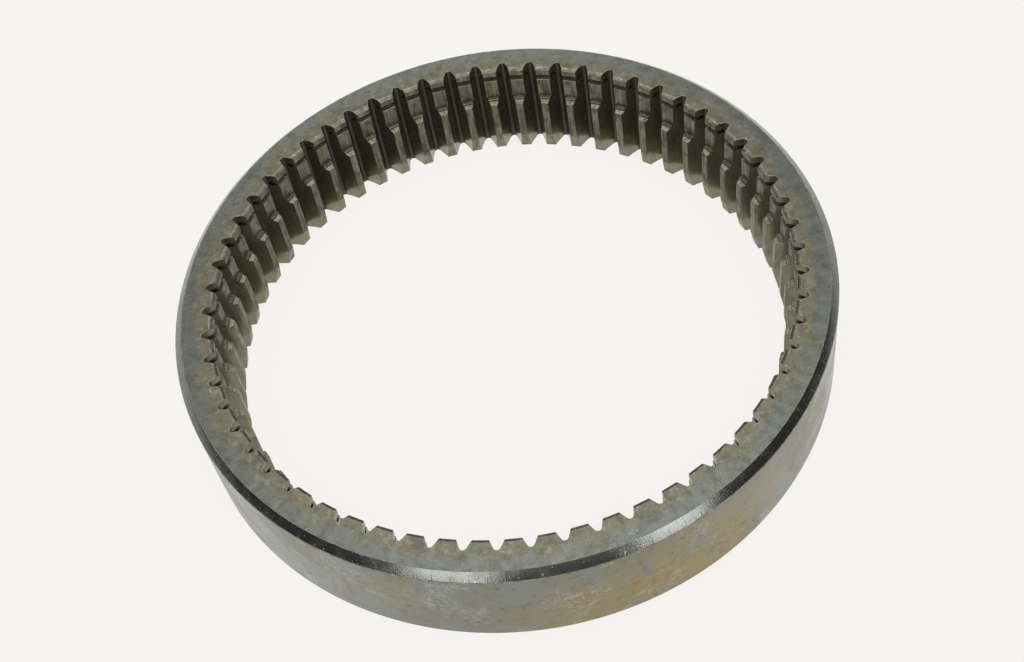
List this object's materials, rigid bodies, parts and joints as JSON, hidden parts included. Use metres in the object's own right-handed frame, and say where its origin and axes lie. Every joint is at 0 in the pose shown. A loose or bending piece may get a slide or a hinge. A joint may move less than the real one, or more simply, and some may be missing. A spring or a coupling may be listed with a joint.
{
  "type": "internal ring gear",
  "caption": "Steel internal ring gear with a chamfered plain rim, a toothed lip and snap-ring groove at the top and tapered tooth ends at the bottom.",
  "frame": {"origin": "centre of the ring on its lower face, the face with the tapered tooth ends", "axes": "+Z along the gear's axis, from the lower face towards the lip and snap-ring groove; one tooth space is centred on +X"},
  "size_m": [0.247, 0.247, 0.0435],
  "materials": {
    "steel": "turned and shaped alloy steel, oil-darkened, with heat tint and light stains"
  },
  "bodies": {
    "root": {"ring_gear": "steel"}
  },
  "joints": []
}
